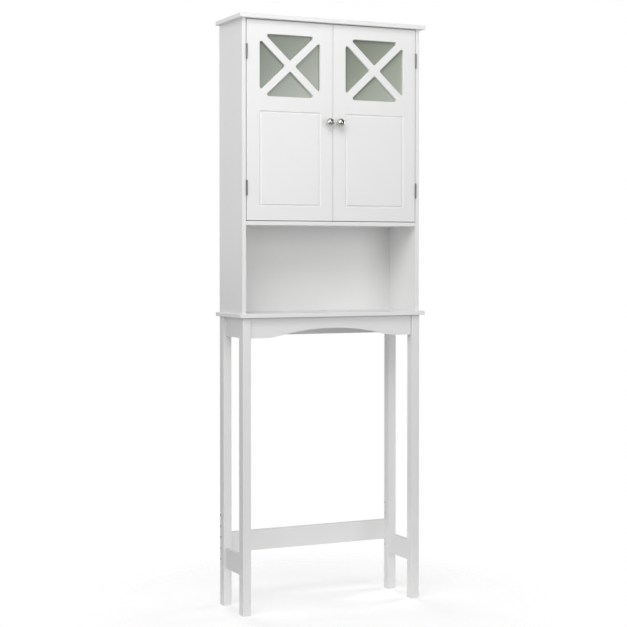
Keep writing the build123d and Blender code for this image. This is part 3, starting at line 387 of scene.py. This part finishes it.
chrome = metal("bright_chrome", (0.66, 0.66, 0.62), 0.06, 0.004, depth=0.000004)
# The hinge steel's colour is far darker than plated steel's own: painted shade, which makes the
# hinges read dark grey.
nickel = metal("nickel_plated_steel", (0.24, 0.24, 0.235), 0.34, 0.0003, (1.0, 1.0, 12.0))
zinc = metal("zinc_plated_steel", (0.66, 0.67, 0.69), 0.34, 0.0006)
casting = metal("cast_zinc", (0.60, 0.61, 0.63), 0.45, 0.0005, depth=0.00004)


# %% [markdown]
# ## Beech, plastic and ferrite
# The dowels are turned beech: pale, with short darker flecks along the grain. The catch housing and
# the shelf pins are moulded plastic, whose skin has a faint spark-eroded texture from the mould. The
# magnets are sintered ferrite, dark and dry like a fired clay. All three are mostly hidden, but they
# show when a door is open or a board is taken away.


# %% Beech
def beech(name):
    """Long soft noise for the growth rings, short dark flecks on top."""
    finish = Finish(name, Specular_IOR_Level=0.3)
    rings = finish.noise(0.0012, 2.0, (8.0, 1.0, 1.0))
    flecks = finish.noise(0.0004, 1.0, (6.0, 1.0, 1.0)) ** 4.0
    finish.surface(
        Base_Color=finish.blend(rings, (0.52, 0.36, 0.21), (0.66, 0.49, 0.32)),
        Roughness=0.62 + 0.5 * flecks,
    )
    finish.bump(rings, 0.00003)
    return finish.material


# %% Plastic and ferrite
def moulded(name, dark, light, roughness, grain, depth):
    """An even colour with the fine texture of the mould or the press."""
    finish = Finish(name, Specular_IOR_Level=0.4)
    skin = finish.noise(grain, 3.0)
    finish.surface(Base_Color=finish.blend(skin, dark, light), Roughness=roughness + 0.12 * skin)
    finish.bump(skin, depth)
    return finish.material


dowel_wood = beech("turned_beech")
plastic = moulded("white_plastic", (0.78, 0.78, 0.76), (0.84, 0.84, 0.82), 0.40, 0.0006, 0.00003)
ferrite = moulded("ferrite", (0.020, 0.020, 0.022), (0.045, 0.045, 0.048), 0.62, 0.0004, 0.00005)

# %% [markdown]
# ## Which piece wears which finish
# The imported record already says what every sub-part is made of, so one table from its words to the
# materials above dresses all the CAD nodes. Doors, legs, aprons and rails then get their own spray.

# %% Dress the CAD nodes
wears = {
    "painted_board": board_paint,
    "painted_hardboard": back_face,
    "tinted_glass": glass,
    "bright_chrome": chrome,
    "hinge_steel": nickel,
    "zinc_plated_steel": zinc,
    "cast_zinc": casting,
    "dowel_beech": dowel_wood,
    "white_plastic": plastic,
    "magnet": ferrite,
}
record_slot = {part["node"]: part["material_slot"] for part in frame["record"]["subparts"]}
for name, node in nodes.items():
    finish = wears[record_slot[name]]
    if name.endswith("door_panel"):
        finish = door_paint
    elif name in ("front_apron", "rear_apron"):
        finish = apron_paint
    elif name in ("rear_left_leg", "rear_right_leg"):
        finish = drilled_paint
    elif name.endswith(("leg", "apron", "rail", "stretcher")):
        finish = leg_paint
    for place in node.material_slots:
        place.material = finish
print(len(wears), "finishes on", len(nodes), "nodes")

# %% [markdown]
# ## From a grid of numbers to a piece
# The pieces made here are surfaces of two parameters: one runs along a profile, the other round it.
# numpy works out every point at once as an array of rows and columns, and one helper weaves the
# array into quads. Where a whole row falls on one point, as at the pole of a ball, or where points
# repeat along a flat, the doubles are merged, so that the skin is closed and its faces can be
# turned outwards together.


# %% Weave a grid
def woven(name, points, finish, closed=True):
    """Joins rows and columns of points into quads; the last column meets the first again.

    A closed skin also gets a face over each flat end, and all its faces turned outwards.
    """
    rows, columns = points.shape[:2]
    index = np.arange(rows * columns).reshape(rows, columns)
    after = np.roll(index, -1, axis=1)
    quads = np.stack([index[:-1], index[1:], after[1:], after[:-1]], axis=-1).reshape(-1, 4)
    mesh = bpy.data.meshes.new(name)
    mesh.from_pydata(points.reshape(-1, 3).tolist(), [], quads.tolist())
    skin = bmesh.new()
    skin.from_mesh(mesh)
    bmesh.ops.remove_doubles(skin, verts=skin.verts, dist=1e-6)
    if closed:
        bmesh.ops.holes_fill(skin, edges=[edge for edge in skin.edges if edge.is_boundary])
        bmesh.ops.recalc_face_normals(skin, faces=skin.faces)
    skin.to_mesh(mesh)
    skin.free()
    mesh.materials.append(finish)
    mesh.shade_smooth()
    piece = bpy.data.objects.new(name, mesh)
    bpy.context.scene.collection.objects.link(piece)
    return piece


# %% [markdown]
# ## Knobs
# Each door has one round chrome knob, 25 mm across and a little flattened towards the hand. It is
# turned from one bar: ball, waisted neck and foot are a single profile spun about the knob's axis,
# and so it is built. The ball is an oval, the neck a hollow curve, the foot a disc with a soft rim.
# A mirror finish shows every facet, so the profile is drawn finely and spun in many steps.


# %% The profile of a knob
def knob_profile(radius, reach, flat=0.88, neck=0.34, foot=0.57, foot_thick=0.0015, soft=0.06):
    """Distance from the axis and height above the door, from the tip down to the middle of the foot.

    Ball: radius times the cosine and half length times the sine of an angle that runs from the
    tip to where the ball has narrowed to the neck. Neck: a hollow that leaves the ball straight
    and swells into the foot as the cube of how far down it is. Foot: a quarter turn of rim, then
    flat to the axis. `neck`, `foot` and `soft`, the foot's rim, are shares of the radius.
    """
    half = flat * radius
    narrow = -np.arccos(neck)
    angle = np.linspace(np.pi / 2, narrow, 40)
    ball = np.stack([radius * np.cos(angle), reach - half + half * np.sin(angle)], axis=-1)
    down = np.linspace(0.0, 1.0, 14)[1:]
    swell = neck + (foot - soft - neck) * down**3
    neck_line = np.stack([radius * swell, ball[-1, 1] + (foot_thick - ball[-1, 1]) * down], axis=-1)
    turn = np.linspace(0.0, np.pi / 2, 6)[1:]
    wide = radius * (foot - soft + soft * np.sin(turn))
    rim = np.stack([wide, foot_thick * np.cos(turn)], axis=-1)
    return np.concatenate([ball, neck_line, rim, [[0.0, 0.0]]])


# %% Spin the knobs
def turned(name, profile, foot_centre, finish, around=72):
    """Spins a profile about a line through foot_centre that points to the front.

    A point at distance r and height h, turned by angle a, is at
    (x + r cos a, y - h, z + r sin a).
    """
    angle = np.linspace(0.0, 2 * np.pi, around, endpoint=False)[None, :]
    out, high = profile[:, :1], profile[:, 1:]
    x, y, z = foot_centre
    spun = [x + out * np.cos(angle), y - high + 0 * angle, z + out * np.sin(angle)]
    return woven(name, np.stack(spun, axis=-1), finish)


for side in ("left", "right"):
    low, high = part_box(f"{side}_knob")
    middle_x, middle_z = (low.x + high.x) / 2, (low.z + high.z) / 2
    radius = (high.x - low.x) / 2
    profile = knob_profile(radius, high.y - low.y)
    knob = turned(f"{side}_chrome_knob", profile, (middle_x, high.y, middle_z), chrome)
    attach(knob, f"{side}_door")
    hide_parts(f"{side}_knob")
    print(side, "knob:", len(knob.data.polygons), "faces,", round(2000 * radius, 1), "mm across")

# %% [markdown]
# ## Panes
# A pane of tempered glass has its edges ground before it is heated, so it never ends in a knife
# edge. The pane is therefore a block whose corners and edges are rounded. Such a block is what a
# small ball leaves when it is rolled through every place in a smaller box: for each direction of
# the ball's surface, the point is that corner of the smaller box, plus the ball's radius that way.


# %% Rounded blocks
def eased_block(name, low, high, ease, finish, steps=5):
    """A box whose edges have radius `ease`, as a grid over the directions of a ball.

    Each direction n of the ball gives the point c + s (half - ease) + ease n, where c is the middle
    of the box, half its half sizes and s the signs of the octant that n lies in. Directions on the
    border of two octants occur once for each, and the flats stretch between the two.
    """
    low, high = np.array(low), np.array(high)
    centre, half = (low + high) / 2, (high - low) / 2
    quarter = np.linspace(0.0, np.pi / 2, steps)
    up = np.concatenate([quarter - np.pi / 2, quarter])[:, None]
    up_sign = np.repeat([-1.0, 1.0], steps)[:, None]
    round_ = np.concatenate([quarter + k * np.pi / 2 for k in range(4)])[None, :]
    x_sign = np.repeat([1.0, -1.0, -1.0, 1.0], steps)[None, :]
    y_sign = np.repeat([1.0, 1.0, -1.0, -1.0], steps)[None, :]
    ball = [np.cos(up) * np.cos(round_), np.cos(up) * np.sin(round_), np.sin(up) + 0 * round_]
    signs = [x_sign + 0 * up, y_sign + 0 * up, up_sign + 0 * round_]
    corners = centre + np.stack(signs, axis=-1) * (half - ease)
    block = woven(name, corners + ease * np.stack(ball, axis=-1), finish)
    block.modifiers.new("even_flats", "WEIGHTED_NORMAL")
    return block


PANE_EASE = 0.0006
for side in ("left", "right"):
    pane = eased_block(f"{side}_pane", *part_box(f"{side}_glass"), PANE_EASE, glass)
    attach(pane, f"{side}_door")
    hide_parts(f"{side}_glass")
    print(side, "pane:", len(pane.data.polygons), "faces")

# %% [markdown]
# ## Camera and light
# The camera stands four and a half metres away, to the left, with its lens at the height of the open
# shelf and pointed slightly down. The set is a white room. Seven soft boxes stand round the rack, so
# that the doors are its brightest faces and no side is left dark. A dome of soft light fills in,
# mostly from below, as a white floor would.

# %% Camera
lens = bpy.data.cameras.new("camera")
camera = bpy.data.objects.new("camera", lens)
bpy.context.scene.collection.objects.link(camera)
camera.location = (-1.9133, -4.0606, 1.0253)
camera.rotation_euler = (radians(90 - 1.402), 0, radians(-24.901))
lens.sensor_fit = "HORIZONTAL"
lens.sensor_width = 36.0
lens.lens = 87.83
lens.shift_y = -0.035
bpy.context.scene.camera = camera


# %% Soft boxes
def soft_box(name, at, towards, size, power):
    """A square area light at one point that looks at another."""
    light = bpy.data.lights.new(name, "AREA")
    light.shape, light.size, light.energy = "SQUARE", size, power
    lamp = bpy.data.objects.new(name, light)
    bpy.context.scene.collection.objects.link(lamp)
    lamp.location = at
    lamp.rotation_euler = (Vector(towards) - Vector(at)).to_track_quat("-Z", "Y").to_euler()
    lamp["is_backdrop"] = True


middle, doors = (0.0, 0.0, 0.9), (0.0, 0.0, 1.3)
soft_box("front_box", (1.5, -3.7, 1.6), middle, 2.0, 35.0)
soft_box("near_camera_box", (-2.4, -3.2, 2.0), doors, 2.0, 19.5)
soft_box("overhead_box", (-0.8, -1.6, 2.9), doors, 1.4, 26.0)
soft_box("high_left_box", (-3.2, -2.0, 3.0), middle, 2.0, 28.0)
soft_box("left_box", (-3.6, -1.2, 1.6), middle, 2.0, 16.0)
soft_box("rear_box", (-0.2, 4.2, 1.8), middle, 2.0, 75.0)
soft_box("right_box", (4.2, 0.4, 1.8), middle, 2.0, 85.0)

# %% [markdown]
# A mirror ball in an all-white room would vanish, so a studio stands black cards just out of sight,
# and polished metal has something dark to show. Two such cards, one low in front and one to the
# right, are seen only by reflections: they cast no shadow and take no light from the paint.


# %% Black cards
def black_card(name, corner, along, up):
    """A flat dark sheet from one corner and its two edges, seen only in mirrors."""
    corner, along, up = Vector(corner), Vector(along), Vector(up)
    mesh = bpy.data.meshes.new(name)
    outline = [corner, corner + along, corner + along + up, corner + up]
    mesh.from_pydata(outline, [], [(0, 1, 2, 3)])
    mesh.materials.append(card_black.material)
    card = bpy.data.objects.new(name, mesh)
    bpy.context.scene.collection.objects.link(card)
    for seen_by in ("camera", "diffuse", "transmission", "volume_scatter", "shadow"):
        setattr(card, "visible_" + seen_by, False)
    card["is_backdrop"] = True


card_black = Finish("black_card", Base_Color=(0.01, 0.01, 0.01, 1.0), Roughness=0.9)
black_card("low_card", (-2.6, -2.4, 0.05), (4.4, 0.0, 0.0), (0.0, 0.0, 1.05))
black_card("right_card", (1.2, -2.6, 1.0), (1.6, 1.6, 0.0), (0.0, 0.0, 1.6))

# %% [markdown]
# The room itself is seen as plain white, but it lights the rack far less than that, or the white
# paint would be lost against it. Its light is strongest from below the horizon and weakest above.

# %% The white room
world = bpy.data.worlds.new("white_room")
bpy.context.scene.world = world
world.use_nodes = True
links, room = world.node_tree.links, world.node_tree.nodes


def add(kind, **values):
    """Adds a node to the world and writes plain values on its sockets."""
    made = room.new("ShaderNode" + kind)
    for key, value in values.items():
        made.inputs[key.replace("_", " ")].default_value = value
    return made


white = (1.0, 1.0, 1.0, 1.0)
seen, felt = add("Background", Color=white), add("Background", Color=white)
ray, mix, way, parts = add("LightPath"), add("MixShader"), add("TexCoord"), add("SeparateXYZ")
ramp = add("MapRange", From_Min=-0.3, From_Max=0.3, To_Min=0.43, To_Max=0.14)
links.new(way.outputs["Generated"], parts.inputs[0])
links.new(parts.outputs["Z"], ramp.inputs["Value"])
links.new(ramp.outputs[0], felt.inputs["Strength"])
links.new(ray.outputs["Is Camera Ray"], mix.inputs[0])
links.new(felt.outputs[0], mix.inputs[1])
links.new(seen.outputs[0], mix.inputs[2])
links.new(mix.outputs[0], room["World Output"].inputs["Surface"])
bpy.context.scene.view_settings.view_transform = "Standard"


# %% [markdown]
# ## Floor
# The floor is a pale disc, nearly solid under the legs and gone half a metre past them. It holds soft
# contact shadows and then turns into the white of the room with no horizon. A faint glow of its own
# keeps it as white as the room.


# %% Floor
FADE_FROM, FADE_TO, RIM = 0.15, 0.75, 3.0  # metres from the middle
pale = Finish(
    "pale_floor", Roughness=0.7, Specular_IOR_Level=0.2, Emission_Color=white, Emission_Strength=0.2
)
from_middle = pale.node("VectorMath", {"operation": "LENGTH"}, {0: pale.place()}, "Value")
pale.surface(
    Base_Color=pale.blend(pale.noise(0.3), (0.93, 0.93, 0.93), (0.95, 0.95, 0.95)),
    Alpha=1 - pale.slope(from_middle, FADE_FROM, FADE_TO),
)
reach = RIM * np.sqrt(np.linspace(0.0, 1.0, 24))[:, None]
turn = np.linspace(0.0, 2 * np.pi, 96, endpoint=False)[None, :]
disc = np.stack([reach * np.cos(turn), reach * np.sin(turn), 0 * reach * turn], axis=-1)
floor = woven("floor", disc, pale.material, closed=False)
print("floor faces up:", floor.data.polygons[0].normal.z > 0)
floor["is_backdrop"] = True

# %% [markdown]
# ## The size of the finished rack
# The box round every piece that is shown, apart from the set, is measured. The finished rack has
# to stay in the box of the CAD model.

# %% Finish
low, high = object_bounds()
